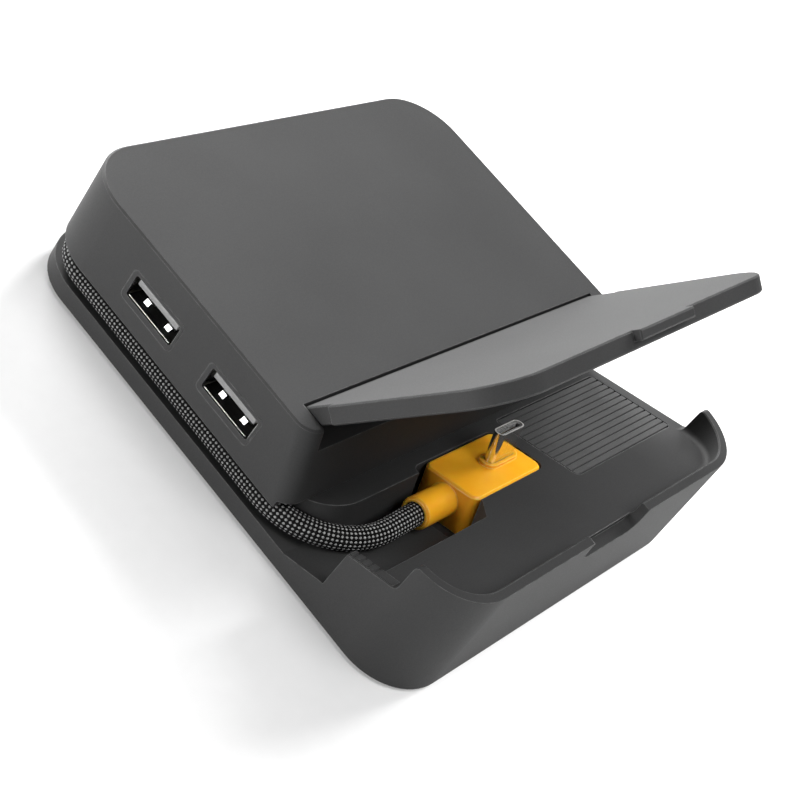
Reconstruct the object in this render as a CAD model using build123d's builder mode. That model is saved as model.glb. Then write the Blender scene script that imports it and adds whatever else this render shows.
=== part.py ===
from build123d import *
import os
from math import cos, radians, sin, tan

os.makedirs("parts", exist_ok=True)

# Driving dimensions, in millimetres and degrees
# Whole body: origin on the table under the middle of the footprint, front towards -Y
width = 103.0
depth = 106.5
body_height = 24.6
corner_radius = 12.4
front_lean = 1.05
foot_stand = 0.8
shell_wall = 2.0
edge_softness = 0.4

# Cable groove round the left side and the back
rim_height = 3.55
cable_diameter = 4.5
cable_fit = 0.1
cable_inset = 2.45
cable_back_inset = 4.0
groove_end_x = 25.0
cable_straight = 1.5
cable_entry_bend = 15.0
cable_bend = 16.8
cable_tail = 9.0
grommet_wall = 0.6

# Console tray
tray_tilt = 17.8
tray_height = 13.4
plug_from_front = 26.85
lip_wall = 1.95
lip_end_from_front = 13.05
lip_end_round = 1.0
lip_foot_round = 1.3
lip_edge = 0.25
lip_hollow_round = 1.5
notch_width = 20.2
notch_depth = 5.2
notch_reach = 0.3
notch_round = 3.2

# Plug pocket and cable channel, measured on the sloped tray from the plug's axis
channel_depth = 7.9
channel_front = 10.4
channel_back = 4.75
channel_overlap = 1.0
channel_slant = 3.6
channel_corner = 9.3
post_wall = 2.4
post_front = 4.0

# Plug
plug_left = 16.0
plug_right = 6.9
plug_thick = 12.7
plug_height = 8.8
plug_round = 1.9
plug_fit = 0.25
plug_room = 3.5
pocket_floor = 0.8
relief_diameter = 6.3
relief_length = 9.2
relief_drop = 4.0
collar_length = 10.1
collar_thick = 3.95
collar_height = 0.7
tip_x = -0.25
tip_length = 8.25
tip_thick = 2.4
tip_wall = 0.28
tip_reach = 6.4
tip_root = 3.0
contact_slot_length = 6.7
contact_slot_thick = 0.8
contact_width = 0.3
contact_pitch = 0.5
contact_count = 12

# Ribbed pads on the tray
pad_sink = 0.8
pad_fit = 0.12
pad_left_x = 10.9
pad_right_x = 48.6
pad_front = 12.1
pad_back = 8.4
pad_round = 1.2
rib_pitch = 1.85
rib_slit = 0.36
rib_slit_depth = 0.45
strip_width = 2.0
strip_length = 9.6
strip_pitch = 1.5
strip_slit = 0.5
strip_slit_count = 4
strip_slit_shift = 1.6

# Lid and hinge
slot_from_front = 46.7
slot_gap = 1.2
hinge_drop = 0.95
hinge_open = 55.0
shoulder_length = 5.8
shoulder_width = 4.0
shoulder_round = 3.6
hinge_side_gap = 0.3
hinge_floor_gap = 0.65
pin_diameter = 1.0
pin_fit = 0.04
pin_in_lid = 9.0
pin_in_shoulder = 2.6
lid_thick = 3.5
lid_fit = 0.3
lid_side_gap = 1.15
lid_tongue = 6.0
tab_width = 19.6
tab_reach = 1.75
tab_thick = 2.0
lid_edge = 0.3

# Sockets in the left wall
socket_shares = (0.1547, 0.5176)
socket_width = 12.5
socket_height = 5.1
socket_shell = 0.25
socket_depth = 13.5
socket_setback = 0.45
socket_fit = 0.06
socket_lead_in = 0.6
socket_round = 0.5
tongue_width = 11.1
tongue_thick = 1.84
tongue_reach = 9.2
tongue_drop = 0.72
socket_back_wall = 2.0
strip_across = 1.0
strip_thick = 0.15
spring_width = 1.9
spring_height = 0.6
spring_length = 3.0
spring_setback = 3.5
spring_spacing = 6.0

# Sockets in the back wall
video_x = -9.0
video_width = 14.0
video_height = 4.55
video_chamfer = 1.6
video_depth = 11.0
power_x = 11.0
power_width = 8.34
power_height = 2.56
power_depth = 7.6
rear_shell = 0.3

# Circuit board
board_thick = 1.6
board_ledge = 2.5
board_left_gap = 2.6
board_right_gap = 3.0
board_front_gap = 0.5
board_rear_gap = 1.0
board_tongue_width = 44.0
board_back_gap = 2.0
board_lift = 0.15

# Bottom cover, posts, screws and feet
cover_thick = 2.2
cover_rim = 1.8
cover_fit = 0.15
post_diameter = 6.0
post_side_gap = 2.7
post_front_gap = 2.3
post_back_gap = 4.9
screw_diameter = 2.2
screw_fit = 0.1
screw_length = 9.0
screw_head_diameter = 4.4
screw_head_height = 1.3
screw_head_sink = 0.1
foot_diameter = 8.0
foot_sink = 0.7
foot_fit = 0.1
foot_inset_x = 10.0
foot_inset_y = 9.0
board_post_diameter = 5.0
board_post_inset = 4.5
board_post_from_left = 26.9
board_screw_length = 5.0
screw_drive = 2.4
chip_shares = (0.28, 0.22, 0.19)
chip_height = 0.9

# Worked-out places
side = width / 2
front = -depth / 2
back = depth / 2
front_top = front + front_lean
base_bottom = foot_stand
top = base_bottom + body_height
rim_top = base_bottom + rim_height
cable_radius = cable_diameter / 2
groove_root = cable_radius + cable_fit
cable_z = rim_top + groove_root
groove_top = cable_z + groove_root
groove_x = -side + cable_inset
groove_y = back - cable_back_inset
groove_corner = corner_radius - cable_back_inset
inner_side = side - cable_inset - groove_root - shell_wall
inner_back = groove_y - groove_root - shell_wall

slope = tan(radians(tray_tilt))
tilt_sin = sin(radians(tray_tilt))
tilt_cos = cos(radians(tray_tilt))
plug_y = front + plug_from_front
tray_z = base_bottom + tray_height
tray_plane = Plane(origin=(0, plug_y, tray_z), x_dir=(1, 0, 0), z_dir=(0, tilt_sin, tilt_cos))


def tray_level(y):
    """Height of the sloped tray at a depth y."""
    return tray_z + (plug_y - y) * slope


def on_tray(x, y_local, z_local):
    """Point given in the tray's own sloped frame."""
    return tray_plane.from_local_coords(Vector(x, y_local, z_local))


relief_end = on_tray(-plug_left - relief_length, 0, -relief_drop)
slot_edge = front + slot_from_front
hinge_y = slot_edge - slot_gap
hinge_z = top - hinge_drop
wall_top_y = slot_edge - shoulder_length
wall_plane = Plane(origin=(0, wall_top_y, top), x_dir=(1, 0, 0), z_dir=(0, -tilt_cos, tilt_sin))
wall_foot = (wall_top_y - (top - tray_z) * slope + plug_y * slope**2) / (1 + slope**2)
tray_back = wall_foot + shell_wall / tilt_cos
slot_half = side - shoulder_width
recess_z = hinge_z + hinge_drop - lid_thick - hinge_floor_gap
lip_end_y = front + lip_end_from_front
lip_inner_y = front_top + lip_wall
board_z = groove_top + board_ledge
board_top = board_z + board_thick
cavity_top = top - shell_wall
channel_end = plug_left - channel_overlap
socket_places = [slot_edge + share * (back - slot_edge) for share in socket_shares]
socket_z = board_top + board_lift + socket_shell + socket_height / 2
video_z = board_top + board_lift + rear_shell + video_height / 2
power_z = board_top + board_lift + rear_shell + power_height / 2
post_x = inner_side - post_diameter / 2 - post_side_gap
post_front_y = tray_back + post_front_gap + post_diameter / 2
post_back_y = inner_back - post_back_gap - post_diameter / 2
screw_places = [(x * post_x, y) for x in (-1, 1) for y in (post_front_y, post_back_y)]
foot_places = [(x * (side - foot_inset_x), y * (depth / 2 - foot_inset_y)) for x in (-1, 1) for y in (-1, 1)]
board_left_x = -side + shell_wall + board_left_gap
board_right_x = post_x - post_diameter / 2 - board_right_gap
board_front_y = post_front_y + post_diameter / 2 + board_front_gap
board_back_y = post_back_y - post_diameter / 2 - board_rear_gap
board_rear_y = back - shell_wall - board_back_gap
board_post_places = (
    (board_left_x + board_post_from_left, board_front_y + board_post_inset),
    (board_right_x - board_post_inset, board_front_y + board_post_inset),
    (board_right_x - board_post_inset, board_back_y - board_post_inset),
)
board_run = board_back_y - board_front_y
chip_places = [
    (board_right_x * (0.9 * i - 0.5) / 2, board_front_y + (0.5 + 0.12 * (i % 2)) * board_run, share * board_run)
    for i, share in enumerate(chip_shares)
]


def video_outline(grow):
    """Corners of the video socket's mouth, with its two bevelled lower corners, grown outwards."""
    half = video_width / 2 + grow
    high = video_height / 2 + grow
    low = video_chamfer + grow * (2 - 2**0.5) - high
    foot = half - video_chamfer - grow * (2 - 2**0.5)
    return ((-half, high), (-half, low), (-foot, -high), (foot, -high), (half, low), (half, high))


# Groove: a rounded root that holds the cable, with level flanks, and a round bed where the cable turns in
with BuildPart() as groove:
    groove_start = wall_foot + 0.9
    with BuildLine() as groove_path:
        FilletPolyline(
            (groove_x, groove_start, cable_z),
            (groove_x, groove_y, cable_z),
            (groove_end_x, groove_y, cable_z),
            radius=groove_corner,
        )
    with BuildSketch(Plane(origin=(groove_x, groove_start, cable_z), x_dir=(-1, 0, 0), z_dir=(0, 1, 0))):
        mouth = cable_back_inset + 1
        with BuildLine():
            Polyline((0, groove_root), (mouth, groove_root), (mouth, -groove_root), (0, -groove_root))
            ThreePointArc((0, -groove_root), (-groove_root, 0), (0, groove_root))
        make_face()
    sweep(path=groove_path.wires()[0])

# Bed: the cable's own way round the left front corner, with its clearance
bed_points = (
    (relief_end.X - cable_straight, relief_end.Y, relief_end.Z),
    (groove_x, relief_end.Y, cable_z),
    (groove_x, relief_end.Y + cable_bend + cable_diameter, cable_z),
)
with BuildPart() as bed:
    with BuildLine() as bed_path:
        FilletPolyline(*bed_points, radius=cable_bend)
    with BuildSketch(Plane(origin=bed_path.wires()[0] @ 0, z_dir=bed_path.wires()[0] % 0)):
        Circle(groove_root)
    sweep(path=bed_path.wires()[0])

# Channel: the pocket for the plug and the way out for its cable, sunk square to the tray
strip_left = -side + cable_inset + groove_root
channel_back_run = (tray_back - plug_y) / tilt_cos + shell_wall
with BuildPart() as channel:
    with BuildSketch(tray_plane):
        with BuildLine():
            Polyline(
                (-channel_end, channel_slant - channel_front),
                (-channel_end - channel_slant, -channel_front),
                (-side + post_wall, -channel_front),
                (-side + post_wall, channel_back_run),
                (strip_left, channel_back_run),
                (strip_left, channel_back + channel_corner),
            )
            RadiusArc(
                (strip_left, channel_back + channel_corner),
                (strip_left + channel_corner, channel_back),
                -channel_corner,
            )
            Polyline(
                (strip_left + channel_corner, channel_back),
                (-channel_end, channel_back),
                (-channel_end, channel_slant - channel_front),
            )
        make_face()
    extrude(amount=-channel_depth)
    split(bisect_by=Plane.XY.offset(rim_top), keep=Keep.TOP)
    with BuildSketch(tray_plane):
        with Locations(((plug_right + plug_fit - plug_left - plug_room) / 2, 0)):
            RectangleRounded(
                plug_left + plug_room + plug_right + plug_fit, plug_thick + 2 * plug_fit, plug_round + plug_fit
            )
    extrude(amount=-plug_height)
    split(bisect_by=Plane.XY.offset(base_bottom + cover_thick + pocket_floor), keep=Keep.TOP)

# Side opening: the cut in the left wall that lets the cable out of the channel
channel_drop = channel_depth / tilt_cos
post_y = plug_y - post_front * tilt_cos
ramp_end_y = plug_y + (tray_z - channel_drop - rim_top) / slope
opening_end_y = tray_back + shell_wall
with BuildPart() as side_opening:
    with BuildSketch(Plane.YZ.offset(-side - 1)):
        with BuildLine():
            Polyline(
                (post_y, top),
                (post_y, tray_level(post_y) - channel_drop),
                (ramp_end_y, rim_top),
                (opening_end_y, rim_top),
                (opening_end_y, top),
                close=True,
            )
        make_face()
    extrude(amount=post_wall + 1.01)

# Tray space: the room above the sloped tray, inside the lip, wider at the lip's bevelled edge
with BuildPart() as tray_space:
    space_back = lip_end_y + corner_radius
    with BuildSketch(Plane.XY.offset(base_bottom)):
        with Locations((0, (lip_inner_y + space_back) / 2)):
            Rectangle(width - 2 * lip_wall, space_back - lip_inner_y)
    extrude(amount=body_height - lip_edge)
    fillet(tray_space.edges().filter_by(Axis.Z).group_by(Axis.Y)[0], corner_radius - lip_wall)
    extrude(tray_space.faces().sort_by(Axis.Z)[-1], amount=2 * lip_edge, taper=-45)
    split(bisect_by=tray_plane, keep=Keep.TOP)
    fillet(
        tray_space.faces().sort_by(Axis.Z)[0].edges().filter_by_position(Axis.Y, front, lip_end_y - 1),
        lip_foot_round,
    )

# Hollow under the tray, kept clear of the channel by one wall
with BuildPart() as tray_hollow:
    hollow_front = front + front_lean + shell_wall
    hollow_back = tray_back - shell_wall
    with BuildSketch(Plane.XY.offset(base_bottom - 1)):
        with Locations((0, (hollow_front + hollow_back) / 2)):
            Rectangle(width - 2 * shell_wall, hollow_back - hollow_front)
    extrude(amount=body_height)
    fillet(tray_hollow.edges().filter_by(Axis.Z).group_by(Axis.Y)[0], corner_radius - shell_wall)
    split(bisect_by=tray_plane.offset(-shell_wall - pad_sink), keep=Keep.BOTTOM)
    with BuildSketch(tray_plane):
        Polygon(
            (-side, -channel_front - shell_wall),
            (plug_right + plug_fit + shell_wall, -channel_front - shell_wall),
            (plug_right + plug_fit + shell_wall, channel_back_run),
            (-side, channel_back_run),
            align=None,
        )
    extrude(amount=-2 * plug_height, mode=Mode.SUBTRACT)

# Base tray: lower case with the rim, the sloped tray, the front lip and the lower half of the groove
with BuildPart() as base_tray:
    with BuildSketch(Plane.XY.offset(base_bottom)):
        RectangleRounded(width, depth, corner_radius)
    with BuildSketch(Plane.XY.offset(top)):
        with Locations((0, front_lean / 2)):
            RectangleRounded(width, depth - front_lean, corner_radius)
    loft(ruled=True)
    with BuildSketch(Plane.YZ) as tray_cut:
        with BuildLine():
            Polyline(
                (lip_end_y, top + 1),
                (lip_end_y, tray_level(lip_end_y)),
                (tray_back, tray_level(tray_back)),
                (tray_back, cable_z),
                (back + 1, cable_z),
                (back + 1, top + 1),
                close=True,
            )
        make_face()
        fillet(tray_cut.vertices().group_by(Axis.X)[0].sort_by(Axis.Y)[0], lip_hollow_round)
    extrude(amount=side + 1, both=True, mode=Mode.SUBTRACT)
    lip_ends = base_tray.edges().filter_by(Axis.X).filter_by_position(Axis.Y, lip_end_y - 0.1, lip_end_y + 0.1)
    fillet(lip_ends.group_by(Axis.Z)[-1], lip_end_round)
    add(tray_space.part, mode=Mode.SUBTRACT)
    add(channel.part, mode=Mode.SUBTRACT)
    add(side_opening.part, mode=Mode.SUBTRACT)
    add(groove.part, mode=Mode.SUBTRACT)
    add(bed.part, mode=Mode.SUBTRACT)
    add(tray_hollow.part, mode=Mode.SUBTRACT)
    # thumb notch in the lip
    with BuildSketch(Plane.XZ.offset(-lip_inner_y - notch_reach)):
        with Locations((0, top - notch_depth + body_height / 2)):
            RectangleRounded(notch_width, body_height, notch_round)
    extrude(amount=notch_reach + lip_wall + front_lean + 1, mode=Mode.SUBTRACT)
    # room for the two pads
    with BuildSketch(tray_plane):
        with Locations(((pad_left_x + pad_right_x) / 2, (pad_back - pad_front) / 2)):
            RectangleRounded(pad_right_x - pad_left_x, pad_front + pad_back, pad_round)
        with Locations((-side + post_wall - strip_width / 2, -post_front - strip_length / 2)):
            Rectangle(strip_width, strip_length)
    extrude(amount=-pad_sink, mode=Mode.SUBTRACT)
    # open middle under the housing
    with BuildSketch(Plane.XY.offset(base_bottom - 1)):
        Polygon(
            (-inner_side, tray_back),
            (side - shell_wall, tray_back),
            (side - shell_wall, back - corner_radius),
            (side - corner_radius, back - shell_wall),
            (groove_end_x + shell_wall, back - shell_wall),
            (groove_end_x + shell_wall, inner_back),
            (-inner_side + corner_radius / 2, inner_back),
            (-inner_side, inner_back - corner_radius / 2),
            align=None,
        )
    extrude(amount=body_height, mode=Mode.SUBTRACT)
    # seat of the bottom cover
    with BuildSketch(Plane.XY.offset(base_bottom)):
        RectangleRounded(width - 2 * cover_rim, depth - 2 * cover_rim, corner_radius - cover_rim)
    extrude(amount=cover_thick, mode=Mode.SUBTRACT)
    # half hole for the cable's grommet
    with BuildSketch(Plane.YZ.offset(groove_end_x - 1)):
        with Locations((groove_y, cable_z)):
            Circle(cable_radius + cable_fit + grommet_wall)
    extrude(amount=shell_wall + cable_tail + 2, mode=Mode.SUBTRACT)
base_tray.part.label = "base_tray"
export_step(base_tray.part, "parts/base_tray.step")

# Inside of the upper housing: stepped down in front to leave the floor and the back of the hinge slot
with BuildPart() as housing_space:
    inner_wall = wall_plane.offset(-shell_wall)
    with BuildSketch(Plane.YZ):
        with BuildLine():
            Polyline(
                (wall_foot - 5, board_z),
                (wall_foot - 5, recess_z - shell_wall),
                (slot_edge + shell_wall, recess_z - shell_wall),
                (slot_edge + shell_wall, cavity_top),
                (back - shell_wall, cavity_top),
                (back - shell_wall, board_z),
                close=True,
            )
        make_face()
    extrude(amount=side - shell_wall, both=True)
    fillet(housing_space.edges().filter_by(Axis.Z).group_by(Axis.Y)[-1], corner_radius - shell_wall)
    with BuildSketch(Plane.XY.offset(cable_z - 1)):
        Polygon(
            (-inner_side, wall_foot - 5),
            (side - shell_wall, wall_foot - 5),
            (side - shell_wall, back - corner_radius),
            (side - corner_radius, back - shell_wall),
            (groove_end_x + shell_wall, back - shell_wall),
            (groove_end_x + shell_wall, inner_back),
            (-inner_side + corner_radius / 2, inner_back),
            (-inner_side, inner_back - corner_radius / 2),
            align=None,
        )
    extrude(amount=board_z + 1 - cable_z + 0.01)
    split(bisect_by=inner_wall, keep=Keep.BOTTOM)

# Upper housing: block with the flat top, the leaning front wall and the shoulders of the hinge
with BuildPart() as upper_housing:
    with BuildSketch(Plane.XY.offset(cable_z)):
        with Locations((0, (wall_foot - 5 + back) / 2)):
            Rectangle(width, back - wall_foot + 5)
    extrude(amount=top - cable_z)
    fillet(upper_housing.edges().filter_by(Axis.Z).group_by(Axis.Y)[-1], corner_radius)
    split(bisect_by=wall_plane, keep=Keep.BOTTOM)
    wall_face = upper_housing.faces().sort_by(Axis.Y)[0]
    fillet(wall_face.edges().filter_by(Axis.X, reverse=True), shoulder_round)
    chamfer(upper_housing.faces().sort_by(Axis.Z)[-1].edges(), edge_softness)
    # foot of the front wall, cut to the slope of the tray
    with BuildSketch(Plane.YZ):
        with BuildLine():
            Polyline(
                (plug_y, cable_z - 1),
                (tray_back, cable_z - 1),
                (tray_back, tray_level(tray_back)),
                (plug_y, tray_level(plug_y)),
                close=True,
            )
        make_face()
    extrude(amount=side + 1, both=True, mode=Mode.SUBTRACT)
    add(housing_space.part, mode=Mode.SUBTRACT)
    add(groove.part, mode=Mode.SUBTRACT)
    add(bed.part, mode=Mode.SUBTRACT)
    # hinge slot between the shoulders
    with BuildSketch(Plane.XY.offset(recess_z)):
        with Locations((0, slot_edge - shoulder_length)):
            Rectangle(2 * slot_half, 2 * shoulder_length)
    extrude(amount=top - recess_z + 1, mode=Mode.SUBTRACT)
    # posts for the cover screws, and shorter ones for the board
    with BuildSketch(Plane.XY.offset(base_bottom + cover_thick)):
        with Locations(*screw_places):
            Circle(post_diameter / 2)
    extrude(amount=recess_z - shell_wall / 2 - base_bottom - cover_thick)
    with BuildSketch(Plane.XY.offset(recess_z - shell_wall)):
        with Locations((-post_x, post_back_y), (post_x, post_back_y)):
            Circle(post_diameter / 2)
    extrude(amount=cavity_top - recess_z + shell_wall + 0.5)
    with BuildSketch(Plane.XY.offset(board_top)):
        with Locations(*board_post_places):
            Circle(board_post_diameter / 2)
    extrude(amount=cavity_top - board_top + 0.5)
    with Locations(*[(x, y, base_bottom + cover_thick) for x, y in screw_places]):
        Cylinder(
            screw_diameter / 2 + screw_fit,
            screw_length + 1,
            align=(Align.CENTER, Align.CENTER, Align.MIN),
            mode=Mode.SUBTRACT,
        )
    with Locations(*[(x, y, board_top) for x, y in board_post_places]):
        Cylinder(
            screw_diameter / 2 + screw_fit,
            board_screw_length,
            align=(Align.CENTER, Align.CENTER, Align.MIN),
            mode=Mode.SUBTRACT,
        )
    # side socket openings with a bevelled edge
    mouth_width = socket_width + 2 * (socket_shell + socket_fit)
    mouth_height = socket_height + 2 * (socket_shell + socket_fit)
    with BuildSketch(Plane.YZ.offset(-side - 1)):
        with Locations(*[(y, socket_z) for y in socket_places]):
            RectangleRounded(mouth_width, mouth_height, socket_round)
    extrude(amount=shell_wall + 2, mode=Mode.SUBTRACT)
    wall_edges = upper_housing.edges().filter_by_position(Axis.X, -side - 0.01, -side + 0.01)
    low = socket_z - mouth_height / 2 - 0.1
    mouth_edges = wall_edges.filter_by_position(Axis.Z, low, low + mouth_height + 0.2)
    mouth_edges = [
        edge
        for edge in mouth_edges
        if min(abs(edge.center().Y - y) for y in socket_places) < mouth_width / 2 + 0.1
    ]
    chamfer(mouth_edges, socket_lead_in)
    # rear socket openings
    with BuildSketch(Plane.XZ.offset(-back - 1)):
        with Locations((video_x, video_z)):
            Polygon(*video_outline(rear_shell + socket_fit), align=None)
        with Locations((power_x, power_z)):
            SlotOverall(power_width + 2 * (rear_shell + socket_fit), power_height + 2 * (rear_shell + socket_fit))
    extrude(amount=shell_wall + 2, mode=Mode.SUBTRACT)
    # blind holes for the hinge pins
    for x in (-1, 1):
        with BuildSketch(Plane.YZ.offset(x * slot_half)):
            with Locations((hinge_y, hinge_z)):
                Circle(pin_diameter / 2)
        extrude(amount=x * pin_in_shoulder, mode=Mode.SUBTRACT)
    # half hole for the cable's grommet
    with BuildSketch(Plane.YZ.offset(groove_end_x - 1)):
        with Locations((groove_y, cable_z)):
            Circle(cable_radius + cable_fit + grommet_wall)
    extrude(amount=shell_wall + cable_tail + 2, mode=Mode.SUBTRACT)
upper_housing.part.label = "upper_housing"
export_step(upper_housing.part, "parts/upper_housing.step")

# Lid: plate with a narrow tongue between the shoulders and a thumb tab, standing open at rest
lid_plane = Plane(
    origin=(0, hinge_y, hinge_z),
    x_dir=(1, 0, 0),
    z_dir=(0, sin(radians(hinge_open)), cos(radians(hinge_open))),
)
lid_half = side - lip_wall - lid_side_gap
lid_reach = hinge_y - lip_inner_y - lid_fit
tongue_half = slot_half - hinge_side_gap
with BuildPart() as lid:
    with BuildSketch(lid_plane.offset(hinge_drop)) as lid_outline:
        with Locations((0, -(lid_tongue + lid_reach) / 2)):
            Rectangle(2 * lid_half, lid_reach - lid_tongue)
        fillet(lid_outline.vertices().group_by(Axis.Y)[0], corner_radius - lip_wall - lid_fit)
        with Locations((0, (hinge_drop - lid_tongue) / 2)):
            Rectangle(2 * tongue_half, hinge_drop + lid_tongue)
    extrude(amount=-lid_thick)
    rear_top = lid_plane.from_local_coords(Vector(0, hinge_drop, hinge_drop))
    fillet(lid.edges().sort_by_distance(rear_top)[0], 0.95 * hinge_drop)
    top_face = lid.faces().sort_by_distance(
        lid_plane.from_local_coords(Vector(0, -lid_reach / 2, hinge_drop))
    )[0]
    rim_edges = [e for e in top_face.edges() if lid_plane.to_local_coords(e.center()).Y < -hinge_drop]
    chamfer(rim_edges, lid_edge)
    under_face = lid.faces().sort_by_distance(
        lid_plane.from_local_coords(Vector(0, -lid_reach / 2, hinge_drop - lid_thick))
    )[0]
    chamfer(under_face.edges(), lid_edge)
    # thumb tab, thinner than the plate and flush with its top
    with BuildSketch(lid_plane.offset(hinge_drop)):
        with Locations((0, (1 - tab_reach) / 2 - lid_reach)):
            Rectangle(tab_width, tab_reach + 1)
    extrude(amount=-tab_thick)
    tab_face = lid.faces().sort_by_distance(
        lid_plane.from_local_coords(Vector(0, -lid_reach - tab_reach, hinge_drop - tab_thick / 2))
    )[0]
    chamfer(tab_face.edges(), lid_edge)
    for x in (-1, 1):
        with BuildSketch(Plane.YZ.offset(x * (tongue_half + 1))):
            with Locations((hinge_y, hinge_z)):
                Circle(pin_diameter / 2 + pin_fit)
        extrude(amount=-x * (pin_in_lid + 1), mode=Mode.SUBTRACT)
lid.part.label = "lid"
export_step(lid.part, "parts/lid.step")

# Hinge pins: short steel pins pressed into the shoulders
for x, name in ((-1, "hinge_pin_left"), (1, "hinge_pin_right")):
    with BuildPart() as hinge_pin:
        with BuildSketch(Plane.YZ.offset(x * (slot_half + pin_in_shoulder))):
            with Locations((hinge_y, hinge_z)):
                Circle(pin_diameter / 2)
        extrude(amount=-x * (pin_in_shoulder + hinge_side_gap + pin_in_lid - 0.5))
        chamfer(hinge_pin.edges().group_by(Axis.X)[0 if x > 0 else -1], pin_diameter / 8)
    hinge_pin.part.label = name
    export_step(hinge_pin.part, f"parts/{name}.step")

# Right pad: soft inlay with fine slits across the tray
with BuildPart() as tray_pad_right:
    pad_length = pad_right_x - pad_left_x - 2 * pad_fit
    pad_depth = pad_front + pad_back - 2 * pad_fit
    pad_middle = ((pad_left_x + pad_right_x) / 2, (pad_back - pad_front) / 2)
    with BuildSketch(tray_plane.offset(-pad_sink)):
        with Locations(pad_middle):
            RectangleRounded(pad_length, pad_depth, pad_round - pad_fit)
    extrude(amount=pad_sink)
    with BuildSketch(tray_plane):
        slit_count = int((pad_depth - rib_pitch) / rib_pitch)
        with Locations(pad_middle):
            with GridLocations(0, rib_pitch, 1, slit_count):
                Rectangle(pad_length - rib_pitch, rib_slit)
    extrude(amount=-rib_slit_depth, mode=Mode.SUBTRACT)
tray_pad_right.part.label = "tray_pad_right"
export_step(tray_pad_right.part, "parts/tray_pad_right.step")

# Left pad: narrow toothed strip beside the channel
with BuildPart() as tray_pad_left:
    strip_middle = (-side + post_wall - strip_width / 2 + pad_fit / 2, -post_front - strip_length / 2)
    with BuildSketch(tray_plane.offset(-pad_sink)):
        with Locations(strip_middle):
            Rectangle(strip_width - pad_fit, strip_length - 2 * pad_fit)
    extrude(amount=pad_sink)
    with BuildSketch(tray_plane):
        with Locations((strip_middle[0], strip_middle[1] + strip_slit_shift)):
            with GridLocations(0, strip_pitch, 1, strip_slit_count):
                Rectangle(strip_width, strip_slit)
    extrude(amount=-rib_slit_depth, mode=Mode.SUBTRACT)
tray_pad_left.part.label = "tray_pad_left"
export_step(tray_pad_left.part, "parts/tray_pad_left.step")

# Plug overmould: block with a tubular strain relief and a raised collar round the tip
tip_plane = Plane(origin=on_tray(tip_x, 0, 0), x_dir=(1, 0, 0), z_dir=tray_plane.z_dir)
with BuildPart() as plug_overmould:
    with BuildSketch(tray_plane.offset(-plug_height)):
        with Locations(((plug_right - plug_left) / 2, 0)):
            RectangleRounded(plug_left + plug_right, plug_thick, plug_round)
    extrude(amount=plug_height)
    plug_top = plug_overmould.faces().filter_by(tray_plane).sort_by(Axis.Z)[-1]
    chamfer(plug_top.edges(), edge_softness)
    with BuildSketch(Plane(origin=on_tray(-plug_left + 1, 0, -relief_drop), x_dir=(0, 1, 0), z_dir=(-1, 0, 0))):
        Circle(relief_diameter / 2)
    extrude(amount=relief_length + 1)
    chamfer(plug_overmould.edges().group_by(Axis.X)[0], edge_softness)
    with BuildSketch(Plane(origin=on_tray(-plug_left, 0, -relief_drop), x_dir=(0, 1, 0), z_dir=(-1, 0, 0))):
        Circle(cable_radius + cable_fit / 2)
    extrude(amount=relief_length + 1, mode=Mode.SUBTRACT)
    with BuildSketch(tip_plane):
        SlotOverall(collar_length, collar_thick)
    extrude(amount=collar_height)
    with BuildSketch(tip_plane.offset(collar_height)):
        SlotOverall(tip_length + cable_fit, tip_thick + cable_fit)
    extrude(amount=-collar_height - tip_root, mode=Mode.SUBTRACT)
plug_overmould.part.label = "plug_overmould"
export_step(plug_overmould.part, "parts/plug_overmould.step")

# Plug shell: drawn metal sleeve
with BuildPart() as plug_shell:
    with BuildSketch(tip_plane.offset(-tip_root)):
        SlotOverall(tip_length, tip_thick)
        SlotOverall(tip_length - 2 * tip_wall, tip_thick - 2 * tip_wall, mode=Mode.SUBTRACT)
    extrude(amount=tip_root + collar_height + tip_reach)
plug_shell.part.label = "plug_shell"
export_step(plug_shell.part, "parts/plug_shell.step")

# Plug insert: moulded carrier with the slot for the console's tongue
insert_fit = 0.02
with BuildPart() as plug_insert:
    with BuildSketch(tip_plane.offset(-tip_root)):
        SlotOverall(tip_length - 2 * tip_wall - 2 * insert_fit, tip_thick - 2 * tip_wall - 2 * insert_fit)
    extrude(amount=tip_root + collar_height + tip_reach - tip_wall)
    with BuildSketch(tip_plane.offset(collar_height)):
        Rectangle(contact_slot_length, contact_slot_thick)
    extrude(amount=tip_reach, mode=Mode.SUBTRACT)
plug_insert.part.label = "plug_insert"
export_step(plug_insert.part, "parts/plug_insert.step")

# Plug contacts: two facing rows of strips in the slot
with BuildPart() as plug_contacts:
    contact_thick = 0.08
    with BuildSketch(tip_plane.offset(collar_height)):
        with GridLocations(contact_pitch, contact_slot_thick - contact_thick, contact_count, 2):
            Rectangle(contact_width, contact_thick)
    extrude(amount=tip_reach - 4 * tip_wall)
plug_contacts.part.label = "plug_contacts"
export_step(plug_contacts.part, "parts/plug_contacts.step")

# Cable: out of the strain relief, round the left front corner, along the groove and into the back
cable_points = (
    (-plug_left - 1, relief_end.Y, relief_end.Z),
    (relief_end.X - cable_straight, relief_end.Y, relief_end.Z),
    (groove_x, relief_end.Y, cable_z),
    (groove_x, groove_y, cable_z),
    (groove_end_x + shell_wall + cable_tail, groove_y, cable_z),
)
with BuildPart() as cable:
    with BuildLine() as cable_path:
        FilletPolyline(*cable_points, radius=(cable_entry_bend, cable_bend, groove_corner))
    with BuildSketch(Plane(origin=cable_points[0], z_dir=(-1, 0, 0))):
        Circle(cable_radius)
    sweep(path=cable_path.wires()[0])
cable.part.label = "cable"
export_step(cable.part, "parts/cable.step")
print("cable length", round(cable_path.wires()[0].length, 1), "volume ratio",
      round(cable.part.volume / (3.14159 * cable_radius**2 * cable_path.wires()[0].length), 4))

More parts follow.
